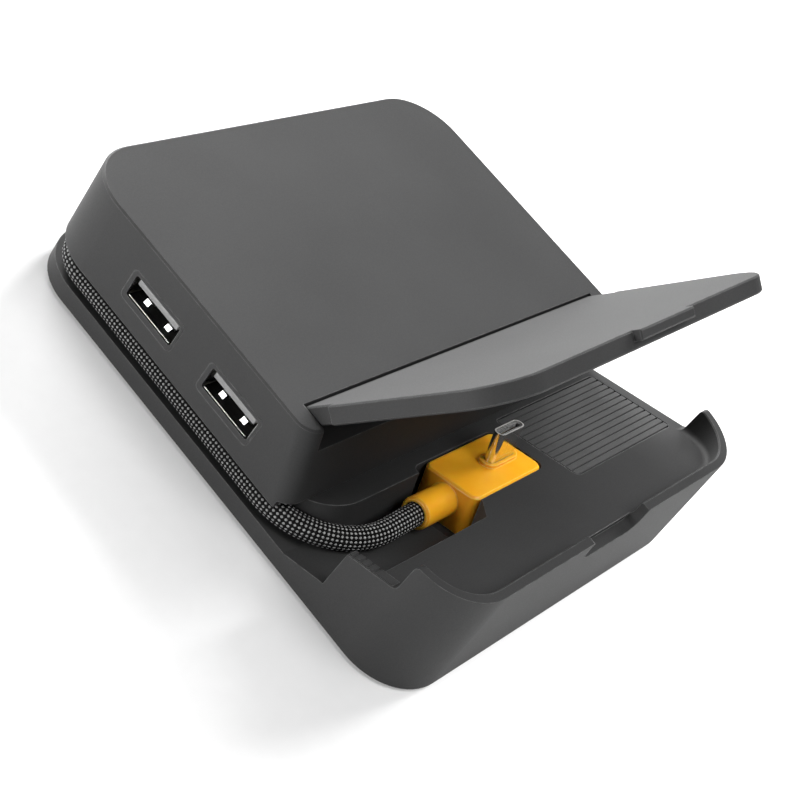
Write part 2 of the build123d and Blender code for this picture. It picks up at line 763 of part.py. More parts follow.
# Grommet: bush clamped between base and housing where the cable goes in
with BuildPart() as cable_grommet:
    with BuildSketch(Plane.YZ.offset(groove_end_x)):
        with Locations((groove_y, cable_z)):
            Circle(cable_radius + cable_fit + grommet_wall - insert_fit)
            Circle(cable_radius + cable_fit / 2, mode=Mode.SUBTRACT)
    extrude(amount=shell_wall + 2)
cable_grommet.part.label = "cable_grommet"
export_step(cable_grommet.part, "parts/cable_grommet.step")

# Side sockets: metal shell with two springs, tongue and four contacts each
for y, place in zip(socket_places, ("front", "rear")):
    mouth_plane = Plane(origin=(-side + socket_setback, y, socket_z), x_dir=(0, 1, 0), z_dir=(1, 0, 0))
    shell_top = socket_height / 2
    with BuildPart() as socket_case:
        with BuildSketch(mouth_plane):
            RectangleRounded(socket_width + 2 * socket_shell, socket_height + 2 * socket_shell, socket_round)
        extrude(amount=socket_depth)
        with BuildSketch(mouth_plane):
            RectangleRounded(socket_width, socket_height, socket_round - socket_shell)
        extrude(amount=socket_depth - socket_shell, mode=Mode.SUBTRACT)
        with BuildSketch(mouth_plane.offset(spring_setback)):
            with GridLocations(spring_spacing, 0, 2, 1):
                with Locations((0, -shell_top + spring_height / 2)):
                    Rectangle(spring_width, spring_height)
        extrude(amount=spring_length)
    socket_case.part.label = f"side_socket_{place}_shell"
    export_step(socket_case.part, f"parts/side_socket_{place}_shell.step")

    tongue_y = shell_top - tongue_drop - tongue_thick / 2
    tongue_start = socket_depth - socket_shell - socket_back_wall
    with BuildPart() as socket_tongue:
        with BuildSketch(mouth_plane.offset(tongue_start)):
            RectangleRounded(
                socket_width - 2 * socket_fit, socket_height - 2 * socket_fit, socket_round - socket_shell
            )
        extrude(amount=socket_back_wall)
        with BuildSketch(mouth_plane.offset(tongue_start - tongue_reach)):
            with Locations((0, tongue_y)):
                Rectangle(tongue_width, tongue_thick)
        extrude(amount=tongue_reach)
        chamfer(socket_tongue.edges().filter_by(Axis.Y).group_by(Axis.X)[0], tongue_thick / 5)
    socket_tongue.part.label = f"side_socket_{place}_tongue"
    export_step(socket_tongue.part, f"parts/side_socket_{place}_tongue.step")

    with BuildPart() as socket_contacts:
        with BuildSketch(mouth_plane.offset(tongue_start - tongue_reach + 1)):
            for x in (-3.5, -1.0, 1.0, 3.5):
                with Locations((x, tongue_y - tongue_thick / 2 - strip_thick / 2)):
                    Rectangle(strip_across, strip_thick)
        extrude(amount=tongue_reach - 1)
    socket_contacts.part.label = f"side_socket_{place}_contacts"
    export_step(socket_contacts.part, f"parts/side_socket_{place}_contacts.step")

# Video socket in the back wall
rear_mouth = back - socket_setback
video_plane = Plane(origin=(video_x, rear_mouth, video_z), x_dir=(1, 0, 0), z_dir=(0, -1, 0))
with BuildPart() as video_socket_shell:
    with BuildSketch(video_plane):
        Polygon(*video_outline(rear_shell), align=None)
    extrude(amount=video_depth)
    with BuildSketch(video_plane):
        Polygon(*video_outline(0), align=None)
    extrude(amount=video_depth - rear_shell, mode=Mode.SUBTRACT)
video_socket_shell.part.label = "video_socket_shell"
export_step(video_socket_shell.part, "parts/video_socket_shell.step")

with BuildPart() as video_socket_tongue:
    with BuildSketch(video_plane.offset(video_depth - rear_shell - socket_back_wall)):
        Polygon(*video_outline(-socket_fit), align=None)
    extrude(amount=socket_back_wall)
    with BuildSketch(video_plane.offset(socket_back_wall)):
        Rectangle(video_width - 4.0, video_height / 4)
    extrude(amount=video_depth - rear_shell - 2 * socket_back_wall)
video_socket_tongue.part.label = "video_socket_tongue"
export_step(video_socket_tongue.part, "parts/video_socket_tongue.step")

# Power socket in the back wall
power_plane = Plane(origin=(power_x, rear_mouth, power_z), x_dir=(1, 0, 0), z_dir=(0, -1, 0))
with BuildPart() as power_socket_shell:
    with BuildSketch(power_plane):
        SlotOverall(power_width + 2 * rear_shell, power_height + 2 * rear_shell)
    extrude(amount=power_depth)
    with BuildSketch(power_plane):
        SlotOverall(power_width, power_height)
    extrude(amount=power_depth - rear_shell, mode=Mode.SUBTRACT)
power_socket_shell.part.label = "power_socket_shell"
export_step(power_socket_shell.part, "parts/power_socket_shell.step")

with BuildPart() as power_socket_tongue:
    with BuildSketch(power_plane.offset(power_depth - rear_shell - socket_back_wall / 2)):
        SlotOverall(power_width - 2 * insert_fit, power_height - 2 * insert_fit)
    extrude(amount=socket_back_wall / 2)
    with BuildSketch(power_plane.offset(socket_back_wall)):
        Rectangle(contact_slot_length, contact_slot_thick - cable_fit)
    extrude(amount=power_depth - rear_shell - 1.5 * socket_back_wall)
power_socket_tongue.part.label = "power_socket_tongue"
export_step(power_socket_tongue.part, "parts/power_socket_tongue.step")

# Circuit board, with a tongue that carries the rear sockets
with BuildPart() as circuit_board:
    with BuildSketch(Plane.XY.offset(board_z)):
        with Locations(((board_left_x + board_right_x) / 2, (board_front_y + board_back_y) / 2)):
            Rectangle(board_right_x - board_left_x, board_back_y - board_front_y)
        with Locations((0, (board_back_y + board_rear_y) / 2)):
            Rectangle(board_tongue_width, board_rear_y - board_back_y)
        with Locations(*board_post_places):
            Circle(screw_diameter / 2 + screw_fit, mode=Mode.SUBTRACT)
    extrude(amount=board_thick)
circuit_board.part.label = "circuit_board"
export_step(circuit_board.part, "parts/circuit_board.step")

# Main chips on the board
with BuildPart() as board_chips:
    with BuildSketch(Plane.XY.offset(board_top)):
        for x, y, size in chip_places:
            with Locations((x, y)):
                Rectangle(size, size)
    extrude(amount=chip_height)
board_chips.part.label = "board_chips"
export_step(board_chips.part, "parts/board_chips.step")

# Board screws: driven up into the housing's short posts
with BuildPart() as board_screws:
    with BuildSketch(Plane.XY.offset(board_z - screw_head_height)):
        with Locations(*board_post_places):
            Circle(screw_head_diameter / 2)
    extrude(amount=screw_head_height)
    with BuildSketch(Plane.XY.offset(board_z)):
        with Locations(*board_post_places):
            Circle(screw_diameter / 2)
    extrude(amount=board_screw_length)
board_screws.part.label = "board_screws"
export_step(board_screws.part, "parts/board_screws.step")

# Bottom cover with sunk screw heads and round seats for the feet
with BuildPart() as bottom_cover:
    rim_cut = cover_rim + cover_fit
    with BuildSketch(Plane.XY.offset(base_bottom)):
        RectangleRounded(width - 2 * rim_cut, depth - 2 * rim_cut, corner_radius - rim_cut)
    extrude(amount=cover_thick)
    with BuildSketch(Plane.XY.offset(base_bottom)):
        with Locations(*foot_places):
            Circle(foot_diameter / 2 + foot_fit)
    extrude(amount=foot_sink, mode=Mode.SUBTRACT)
    with BuildSketch(Plane.XY.offset(base_bottom)):
        with Locations(*screw_places):
            Circle(screw_head_diameter / 2 + screw_fit)
    extrude(amount=screw_head_height + screw_head_sink, mode=Mode.SUBTRACT)
    with BuildSketch(Plane.XY.offset(base_bottom)):
        with Locations(*screw_places):
            Circle(screw_diameter / 2 + screw_fit)
    extrude(amount=cover_thick, mode=Mode.SUBTRACT)
bottom_cover.part.label = "bottom_cover"
export_step(bottom_cover.part, "parts/bottom_cover.step")

# Cover screws: through the cover into the housing's long posts
with BuildPart() as cover_screws:
    head_bottom = base_bottom + screw_head_sink
    with BuildSketch(Plane.XY.offset(head_bottom)):
        with Locations(*screw_places):
            Circle(screw_head_diameter / 2)
    extrude(amount=screw_head_height)
    with BuildSketch(Plane.XY.offset(head_bottom)):
        with Locations(*screw_places):
            RegularPolygon(screw_drive / 2, 6)
    extrude(amount=screw_head_height / 2, mode=Mode.SUBTRACT)
    with BuildSketch(Plane.XY.offset(head_bottom + screw_head_height)):
        with Locations(*screw_places):
            Circle(screw_diameter / 2)
    extrude(amount=screw_length)
cover_screws.part.label = "cover_screws"
export_step(cover_screws.part, "parts/cover_screws.step")

# Feet: soft discs that stand proud of the cover
with BuildPart() as feet:
    with BuildSketch():
        with Locations(*foot_places):
            Circle(foot_diameter / 2)
    extrude(amount=foot_stand + foot_sink)
    chamfer(feet.edges().group_by(Axis.Z)[0], foot_stand / 2)
feet.part.label = "feet"
export_step(feet.part, "parts/feet.step")
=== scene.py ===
# %% [markdown]
# A small tabletop dock for a handheld console, dressed for a studio picture.
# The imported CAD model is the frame: every rigid piece is already there, in metres, with the table
# at Z = 0, the console's tray towards -Y and the two side sockets towards -X.
# This lesson keeps the good CAD pieces, gives each one a worked-out finish,
# and adds what CAD leaves plain.

# %% Load the frame
import bpy
import bmesh
import math
from mathutils import Matrix, Vector


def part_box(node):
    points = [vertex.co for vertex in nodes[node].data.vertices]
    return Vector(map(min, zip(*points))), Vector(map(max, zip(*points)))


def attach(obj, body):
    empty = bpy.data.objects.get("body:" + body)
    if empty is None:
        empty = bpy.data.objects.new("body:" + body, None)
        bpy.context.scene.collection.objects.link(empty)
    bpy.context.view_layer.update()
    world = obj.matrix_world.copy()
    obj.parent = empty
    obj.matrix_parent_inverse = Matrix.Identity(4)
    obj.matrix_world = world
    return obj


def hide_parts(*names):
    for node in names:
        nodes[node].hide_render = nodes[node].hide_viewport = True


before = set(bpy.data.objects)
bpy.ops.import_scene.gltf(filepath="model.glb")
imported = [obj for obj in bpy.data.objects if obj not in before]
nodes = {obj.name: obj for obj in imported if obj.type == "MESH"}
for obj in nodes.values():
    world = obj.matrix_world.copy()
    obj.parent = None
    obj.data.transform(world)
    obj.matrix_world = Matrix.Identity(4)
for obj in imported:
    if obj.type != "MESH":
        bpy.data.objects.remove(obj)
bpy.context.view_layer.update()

# %% [markdown]
# The camera stands to the left of the dock and a little in front of it, high up and rolled over,
# as the picture was taken. A camera can be aimed with a constraint, but the roll would be lost,
# so its three axes are written out: the picture's right, its up, and the way back from the dock.

# %% Camera
CAMERA_PLACE = Vector((-0.26078, -0.08633, 0.20252))
PICTURE_RIGHT = Vector((0.58536334, -0.62819077, 0.51269802))
PICTURE_UP = Vector((0.24227566, 0.73893622, 0.62861129))
AWAY_FROM_DOCK = Vector((-0.77371072, -0.24370996, 0.5847114))
camera_data = bpy.data.cameras.new("camera")
camera_data.sensor_fit = "HORIZONTAL"
camera_data.sensor_width = 36.0
camera_data.lens = 78.01
camera_data.clip_start = 0.01
camera = bpy.data.objects.new("camera", camera_data)
bpy.context.scene.collection.objects.link(camera)
axes = Matrix((PICTURE_RIGHT, PICTURE_UP, AWAY_FROM_DOCK)).transposed()
camera.matrix_world = Matrix.LocRotScale(CAMERA_PLACE, axes.to_quaternion(), None)
bpy.context.scene.camera = camera
print("camera looks along", [round(v, 3) for v in -AWAY_FROM_DOCK])

# %% [markdown]
# Every finish here is a small tree of nodes that ends in one shader. The same few steps come back
# in all of them: a speckle in the piece's own coordinates, a range of shades, a range of gloss,
# and a relief for the light to catch. They could be wired by hand each time,
# but short helpers keep each finish down to the choices that make it.

# %% Helpers: nodes and links
def new_finish(name, roughness, metallic=0.0, specular=0.5):
    material = bpy.data.materials.new(name)
    material.use_nodes = True
    shader = material.node_tree.nodes["Principled BSDF"]
    shader.inputs["Roughness"].default_value = roughness
    shader.inputs["Metallic"].default_value = metallic
    shader.inputs["Specular IOR Level"].default_value = specular
    return material, shader


def add_node(material, kind, **values):
    node = material.node_tree.nodes.new(kind)
    for name, value in values.items():
        node.inputs[name.replace("_", " ")].default_value = value
    return node


def join(material, source, target):
    material.node_tree.links.new(source, target)


def sums(material, kind, first, second=None):
    node = add_node(material, "ShaderNodeMath")
    node.operation = kind
    for value, socket in ((first, node.inputs[0]), (second, node.inputs[1])):
        if isinstance(value, (int, float)):
            socket.default_value = value
        elif value is not None:
            join(material, value, socket)
    return node.outputs[0]


def span(material, source, from_low, from_high, to_low=0.0, to_high=1.0):
    ends = {"From_Min": from_low, "From_Max": from_high, "To_Min": to_low, "To_Max": to_high}
    node = add_node(material, "ShaderNodeMapRange", **ends)
    join(material, source, node.inputs["Value"])
    return node.outputs["Result"]


def wire(material, shader, colour, gloss, normal):
    for name, source in (("Base Color", colour), ("Roughness", gloss), ("Normal", normal)):
        join(material, source, shader.inputs[name])


# %% [markdown]
# A speckle is a noise texture. A scale of 1000 gives speckles about a millimetre apart, because all
# coordinates are in metres, and a stretch below 1 draws them out into lines along that axis.
# Most of the noise lies between 0.3 and 0.7, so those two values become the ends of each range.

# %% Helpers: speckle, shades and gloss
NOISE_LOW, NOISE_HIGH = 0.3, 0.7


def speckle(material, scale, detail=2.0, stretch=(1, 1, 1)):
    place = add_node(material, "ShaderNodeTexCoord")
    squeeze = add_node(material, "ShaderNodeMapping", Scale=stretch)
    noise = add_node(material, "ShaderNodeTexNoise", Scale=scale, Detail=detail)
    join(material, place.outputs["Object"], squeeze.inputs["Vector"])
    join(material, squeeze.outputs["Vector"], noise.inputs["Vector"])
    return noise.outputs[0]


def shades(material, source, dark, light):
    ramp = add_node(material, "ShaderNodeValToRGB")
    first, last = ramp.color_ramp.elements
    first.position, first.color = NOISE_LOW, (*dark, 1)
    last.position, last.color = NOISE_HIGH, (*light, 1)
    join(material, source, ramp.inputs[0])
    return ramp.outputs[0]


def gloss_range(material, source, low, high):
    return span(material, source, NOISE_LOW, NOISE_HIGH, low, high)


# %% [markdown]
# CAD edges are perfectly sharp, which nothing moulded or stamped is. Every edge could be bevelled
# in the mesh, but a bevel node rounds them in the shading alone and leaves the size as it was.
# Where its normal turns away from the surface's own normal there is an edge,
# so comparing the two also tells where to paint a paler highlight along it.
# A mix node has sockets for every kind of data, and the three numbers are those for colours.

# %% Helpers: relief, edges and blends
BEVEL_SAMPLES = 6
STILL_FLAT, FULLY_EDGE = 0.99, 0.85
FIRST_COLOUR, SECOND_COLOUR, MIXED_COLOUR = 6, 7, 2


def relief(material, height, distance, strength, under=None):
    bump = add_node(material, "ShaderNodeBump", Strength=strength, Distance=distance)
    join(material, height, bump.inputs["Height"])
    if under is not None:
        join(material, under, bump.inputs["Normal"])
    return bump.outputs["Normal"]


def soft_edges(material, radius):
    bevel = add_node(material, "ShaderNodeBevel", Radius=radius)
    bevel.samples = BEVEL_SAMPLES
    return bevel.outputs["Normal"]


# The share of a painted paler highlight, where the bevel's normal turns from the face's own.
def edge_highlight_share(material, soft_normal):
    flat = add_node(material, "ShaderNodeNewGeometry")
    turn = add_node(material, "ShaderNodeVectorMath")
    turn.operation = "DOT_PRODUCT"
    join(material, soft_normal, turn.inputs[0])
    join(material, flat.outputs["Normal"], turn.inputs[1])
    return span(material, turn.outputs["Value"], STILL_FLAT, FULLY_EDGE)


def blend_colours(material, amount, first, second):
    mix = add_node(material, "ShaderNodeMix")
    mix.data_type = "RGBA"
    join(material, amount, mix.inputs[0])
    for value, number in ((first, FIRST_COLOUR), (second, SECOND_COLOUR)):
        if isinstance(value, tuple):
            mix.inputs[number].default_value = (*value, 1)
        else:
            join(material, value, mix.inputs[number])
    return mix.outputs[MIXED_COLOUR]


def dress(material, *names):
    for name in names:
        mesh = nodes[name].data
        mesh.materials.clear()
        mesh.materials.append(material)
    print(material.name, "on", ", ".join(names))


# %% [markdown]
# The case is one dark grey moulded plastic with a fine spark-eroded texture, matt but not dead:
# broad soft gloss, a little cloudiness from the moulding, and edges that catch the light.
# A plain grey would look like paint. The grain is a very fine relief, the cloud a slow change
# of shade, and the rounded edges get a paler painted highlight, in patches. The cover underneath is
# the same plastic with a coarser, shinier grain.

# %% Case plastic
def case_finish(name, dark, light, highlight_colour, grain_scale, gloss):
    material, shader = new_finish(name, gloss[1], specular=0.55)
    cloud = speckle(material, scale=38, detail=3.0)
    grain = speckle(material, scale=grain_scale)
    edge_normal = soft_edges(material, radius=0.0003)
    # The paler edges are a painted highlight, laid on in patches.
    highlight_patches = gloss_range(material, speckle(material, scale=700, detail=3.0), low=0.2, high=0.8)
    painted_highlight_share = sums(material, "MULTIPLY", edge_highlight_share(material, edge_normal), highlight_patches)
    wire(
        material,
        shader,
        blend_colours(material, painted_highlight_share, shades(material, cloud, dark, light), highlight_colour),
        gloss_range(material, grain, *gloss),
        relief(material, grain, distance=0.00003, strength=0.35, under=edge_normal),
    )
    return material


case_plastic = case_finish(
    "case_plastic",
    dark=(0.021, 0.021, 0.0212),
    light=(0.026, 0.026, 0.0262),
    highlight_colour=(0.2, 0.2, 0.2),
    grain_scale=4200,
    gloss=(0.68, 0.78),
)
dress(case_plastic, "base_tray", "upper_housing", "lid")
cover_plastic = case_finish(
    "cover_plastic",
    dark=(0.02, 0.02, 0.021),
    light=(0.026, 0.026, 0.027),
    highlight_colour=(0.05, 0.05, 0.05),
    grain_scale=2600,
    gloss=(0.5, 0.62),
)
dress(cover_plastic, "bottom_cover")

# %% [markdown]
# The two inlays on the tray are soft rubber, so that the console doesn't slip, and the feet and the
# cable's grommet are a blacker one. Rubber scatters more than the case does and is dusty in the
# pores. The case plastic made darker would look too clean, so rubber gets a dry, uneven gloss,
# a slow bloom of shade and a little sheen.

# %% Rubber
def rubber_finish(name, dark, light, gloss):
    material, shader = new_finish(name, gloss[1], specular=0.35)
    pores = speckle(material, scale=5200, detail=3.0)
    bloom = speckle(material, scale=160, detail=4.0)
    edge_normal = soft_edges(material, radius=0.00012)
    wire(
        material,
        shader,
        shades(material, bloom, dark, light),
        gloss_range(material, pores, *gloss),
        relief(material, pores, distance=0.00003, strength=0.5, under=edge_normal),
    )
    shader.inputs["Sheen Weight"].default_value = 0.08
    shader.inputs["Sheen Roughness"].default_value = 0.6
    return material


pad_rubber = rubber_finish(
    "pad_rubber", dark=(0.022, 0.022, 0.0222), light=(0.03, 0.03, 0.0302), gloss=(0.5, 0.65)
)
dress(pad_rubber, "tray_pad_right", "tray_pad_left")
black_rubber = rubber_finish(
    "black_rubber", dark=(0.012, 0.012, 0.012), light=(0.02, 0.02, 0.02), gloss=(0.55, 0.75)
)
dress(black_rubber, "feet", "cable_grommet")

# %% [markdown]
# The plug's body and its strain relief are one orange overmould, the only bright thing on the dock.
# It is a tough elastomer: satin, a little translucent, so light softens its corners from inside.
# Plain orange would look like paint. Subsurface scattering, kept very short, lets the light in,
# the corners get a paler painted highlight, and a fine relief breaks the gloss.

# %% Orange overmould
plug_orange, plug_shader = new_finish("plug_orange", roughness=0.36)
orange_cloud = speckle(plug_orange, scale=220, detail=3.0)
orange_grain = speckle(plug_orange, scale=3800)
orange_edge = soft_edges(plug_orange, radius=0.0004)
# The pale yellow along the plug's edges is a painted highlight.
orange_highlight_share = edge_highlight_share(plug_orange, orange_edge)
orange_body = shades(plug_orange, orange_cloud, dark=(0.87, 0.385, 0.012), light=(0.91, 0.43, 0.02))
wire(
    plug_orange,
    plug_shader,
    blend_colours(plug_orange, orange_highlight_share, orange_body, (1.0, 0.68, 0.16)),
    gloss_range(plug_orange, orange_grain, low=0.3, high=0.42),
    relief(plug_orange, orange_grain, distance=0.00002, strength=0.3, under=orange_edge),
)
plug_shader.inputs["Subsurface Weight"].default_value = 0.3
plug_shader.inputs["Subsurface Radius"].default_value = (1.0, 0.3, 0.05)
plug_shader.inputs["Subsurface Scale"].default_value = 0.001
dress(plug_orange, "plug_overmould")

# %% [markdown]
# Metal shows up on the plug's tip, in the sockets, on the contacts, and in pins and screws.
# It could be five plain greys and a yellow, but metal takes its look from what it reflects,
# so what matters is the gloss: fine lines along the direction of drawing or rolling, and a few
# duller patches. One function makes them all, and each metal gives its colour, gloss and lines.

# %% Metals
PATCH_SHADE = 0.86


def metal_finish(name, colour, gloss, lines, line_scale):
    material, shader = new_finish(name, gloss[1], metallic=1.0)
    drawn = speckle(material, line_scale, detail=3.0, stretch=lines)
    patch = speckle(material, scale=900)
    edge_normal = soft_edges(material, radius=0.00008)
    wire(
        material,
        shader,
        shades(material, patch, tuple(PATCH_SHADE * c for c in colour), colour),
        gloss_range(material, drawn, *gloss),
        relief(material, drawn, distance=0.000004, strength=0.25, under=edge_normal),
    )
    return material


ROLLED, STAMPED, TURNED = (0.1, 1, 1), (0.2, 1, 1), (1, 1, 0.3)
socket_tin = metal_finish(
    "socket_tin", colour=(0.62, 0.62, 0.61), gloss=(0.22, 0.38), lines=ROLLED, line_scale=3000
)
dress(socket_tin, "side_socket_front_shell", "side_socket_rear_shell")
dress(socket_tin, "video_socket_shell", "power_socket_shell")
contact_gold = metal_finish(
    "contact_gold", colour=(0.83, 0.62, 0.28), gloss=(0.16, 0.3), lines=STAMPED, line_scale=2600
)
dress(contact_gold, "plug_contacts", "side_socket_front_contacts", "side_socket_rear_contacts")
pin_steel = metal_finish(
    "pin_steel", colour=(0.5, 0.5, 0.5), gloss=(0.2, 0.35), lines=ROLLED, line_scale=3000
)
dress(pin_steel, "hinge_pin_left", "hinge_pin_right", "board_screws")
blackened_steel = metal_finish(
    "blackened_steel", colour=(0.07, 0.07, 0.072), gloss=(0.3, 0.48), lines=TURNED, line_scale=2400
)
dress(blackened_steel, "cover_screws")

# %% [markdown]
# The plug's tip is drawn steel with bright nickel on it, but its cut end faces up and is ground
# matt. The end could have a material of its own. Here the same finish turns from mirror to pale
# grey by itself wherever the surface faces up, so the change follows the rounded edge.

# %% Metals: the plug's tip
STEEP, LEVEL = 0.75, 0.9
MIRROR, MATT = 1.0, 0.15
DRAWN = (1, 0.15, 0.05)
tip_nickel = metal_finish(
    "tip_nickel", colour=(0.8, 0.79, 0.77), gloss=(0.08, 0.2), lines=DRAWN, line_scale=2600
)
tip_facing = add_node(tip_nickel, "ShaderNodeNewGeometry")
tip_split = add_node(tip_nickel, "ShaderNodeSeparateXYZ")
join(tip_nickel, tip_facing.outputs["Normal"], tip_split.inputs["Vector"])
tip_metal = span(tip_nickel, tip_split.outputs["Z"], STEEP, LEVEL, MIRROR, MATT)
tip_shader = tip_nickel.node_tree.nodes["Principled BSDF"]
join(tip_nickel, tip_metal, tip_shader.inputs["Metallic"])
dress(tip_nickel, "plug_shell")

# %% [markdown]
# Inside the sockets sit moulded carriers. The tip's carrier is black, with pale speckles painted on
# it as the glints of its contacts. The tongues of the side sockets are a lighter grey, which is
# what shows as a pale bar in the openings. Fibres could be scattered as tiny meshes,
# but a speckle drawn out along the moulding's flow is enough at this size.

# %% Carriers
def carrier_finish(name, dark, light, gloss):
    material, shader = new_finish(name, gloss[1])
    fibre_and_glint_speckle = speckle(material, scale=2400, stretch=(1, 0.3, 1))
    edge_normal = soft_edges(material, radius=0.00006)
    wire(
        material,
        shader,
        shades(material, fibre_and_glint_speckle, dark, light),
        gloss_range(material, fibre_and_glint_speckle, *gloss),
        relief(material, fibre_and_glint_speckle, distance=0.00001, strength=0.3, under=edge_normal),
    )
    return material


CARRIER_GLOSS = (0.35, 0.5)
carrier_black = carrier_finish(
    "carrier_black", dark=(0.012, 0.012, 0.012), light=(0.03, 0.03, 0.03), gloss=CARRIER_GLOSS
)
dress(carrier_black, "video_socket_tongue", "power_socket_tongue")
# The pale speckles on the tip's carrier are painted glints.
tip_carrier_glints = carrier_finish(
    "tip_carrier_glints", dark=(0.02, 0.02, 0.02), light=(0.5, 0.5, 0.49), gloss=CARRIER_GLOSS
)
dress(tip_carrier_glints, "plug_insert")
carrier_grey = carrier_finish(
    "carrier_grey", dark=(0.27, 0.27, 0.27), light=(0.34, 0.34, 0.34), gloss=CARRIER_GLOSS
)
dress(carrier_grey, "side_socket_front_tongue", "side_socket_rear_tongue")

# %% [markdown]
# New pieces come next. Each is shaped as a bmesh, turned into an object at the origin, given its
# finish, and told which body it rides on.
# That could be written out for every piece, but short helpers do it the same way each time,
# and one more rounds off edges and corners.

# %% Helpers: new pieces
def round_off(mesh, geom, radius, segments, affect):
    bmesh.ops.bevel(
        mesh,
        geom=geom,
        offset=radius,
        offset_type="OFFSET",
        segments=segments,
        profile=0.5,
        affect=affect,
        material=-1,
    )


def make_object(name, mesh, material):
    data = bpy.data.meshes.new(name)
    mesh.to_mesh(data)
    mesh.free()
    data.materials.append(material)
    thing = bpy.data.objects.new(name, data)
    bpy.context.scene.collection.objects.link(thing)
    print(name, "has", len(data.polygons), "faces")
    return thing


def place_piece(name, mesh, material):
    bmesh.ops.recalc_face_normals(mesh, faces=mesh.faces)
    piece = make_object(name, mesh, material)
    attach(piece, "dock")
    return piece


# %% [markdown]
# Each side opening is framed by the wall itself: a thin moulded edge leaves only the plug's way in
# and hides the rolled rim of the shell behind it. It could be cut from a plate, but two rounded
# outlines joined loop to loop give the face of it, and that face pushed back and narrowed fills
# the lead-in of the CAD wall without touching the shell.

# %% Side sockets: a rounded outline
CORNER_SEGMENTS = 5


def rounded_loop(mesh, centre, wide, tall, radius):
    known = set(mesh.edges)
    upright = Matrix.Rotation(math.pi / 2, 4, "Y") @ Matrix.Diagonal((tall, wide, 1, 1))
    placed = Matrix.Translation(centre) @ upright
    grid = bmesh.ops.create_grid(mesh, x_segments=1, y_segments=1, size=0.5, matrix=placed)
    round_off(mesh, grid["verts"], radius, CORNER_SEGMENTS, "VERTICES")
    bmesh.ops.delete(mesh, geom=mesh.faces[:], context="FACES_ONLY")
    return [edge for edge in mesh.edges if edge not in known]


wall_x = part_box("upper_housing")[0][0]
socket_centres = {}
for which in ("front", "rear"):
    low, high = (Vector(corner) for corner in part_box(f"side_socket_{which}_shell"))
    middle = (low + high) / 2
    socket_centres[which] = Vector((wall_x, middle.y, middle.z))
    print(which, "opening at", [round(v, 4) for v in socket_centres[which]])

# %% Side sockets: the moulded edge of each opening
OPENING_WIDE, OPENING_TALL, OPENING_ROUND = 0.0126, 0.0048, 0.0005
OPENING_SHIFT = Vector((0, -0.0002, 0.0002))
LEAD_IN_WIDE, LEAD_IN_TALL, LEAD_IN_ROUND = 0.01428, 0.00688, 0.0011
EDGE_DEPTH = 0.00043
narrower = (1, 1 - 2 * EDGE_DEPTH / LEAD_IN_WIDE, 1 - 2 * EDGE_DEPTH / LEAD_IN_TALL)
for which, centre in socket_centres.items():
    edge_mesh = bmesh.new()
    outer = rounded_loop(edge_mesh, centre, LEAD_IN_WIDE, LEAD_IN_TALL, LEAD_IN_ROUND)
    opening = centre + OPENING_SHIFT
    inner = rounded_loop(edge_mesh, opening, OPENING_WIDE, OPENING_TALL, OPENING_ROUND)
    inner_places = [(v.co.y, v.co.z) for e in inner for v in e.verts]
    ring = bmesh.ops.bridge_loops(edge_mesh, edges=outer + inner)["faces"]
    grown = bmesh.ops.extrude_face_region(edge_mesh, geom=ring, use_keep_orig=True)["geom"]
    deep = [g for g in grown if isinstance(g, bmesh.types.BMVert)]
    slant = [v for v in deep if (v.co.y, v.co.z) not in inner_places]
    bmesh.ops.scale(edge_mesh, vec=narrower, space=Matrix.Translation(-centre), verts=slant)
    bmesh.ops.translate(edge_mesh, vec=(EDGE_DEPTH, 0, 0), verts=deep)
    place_piece(f"socket_{which}_edge", edge_mesh, case_plastic)

# %% [markdown]
# Behind the edge the socket shows a pale tongue near the front, a black sheet on the floor as
# painted shade, and two bright sprung leaves that stand up from the floor to press on a plug. A
# thin lip of the shell shows as a bright line along the lower edge. The leaves could be bent from
# one strip, but so little of them shows that blocks laid on the CAD shell, rounded where they meet
# the light, are enough.

# %% Side sockets: sizes and places, measured from the middle of the opening
TONGUE_FRONT, TONGUE_BACK = 0.0008, 0.00249
NOSE_SIZE, NOSE_ROUND = (TONGUE_BACK - TONGUE_FRONT, 0.0111, 0.00116), 0.00015
NOSE_AT = Vector(((TONGUE_FRONT + TONGUE_BACK) / 2, 0, 0.00125))
SHELL_FLOOR, FLOOR_RAISE = -0.00255, 0.00004
SHADE_SHEET_SIZE, SHADE_SHEET_ROUND = (0.0045, 0.0122, 0.00006), 0.00001
SHADE_SHEET_AT = Vector((0.003, 0, SHELL_FLOOR + FLOOR_RAISE))
LIP_SIZE, LIP_AT = (0.00018, 0.0116, 0.0004), Vector((0.00058, 0, -0.00234))
LEAF_SIZE, LEAF_TILT = (0.00105, 0.00128, 0.00014), Matrix.Rotation(math.radians(-57), 4, "Y")
LEAVES_AT = [Vector((0.00278, aside, -0.0021)) for aside in (-0.003, 0.003)]
SPRING_ROUND = 0.00004
BLOCK_SEGMENTS = 2


def block(mesh, size, placed, rounding):
    sized = placed @ Matrix.Diagonal((*size, 1))
    verts = bmesh.ops.create_cube(mesh, size=1.0, matrix=sized)["verts"]
    edges = list(dict.fromkeys(e for v in verts for e in v.link_edges))
    round_off(mesh, edges, rounding, BLOCK_SEGMENTS, "EDGES")


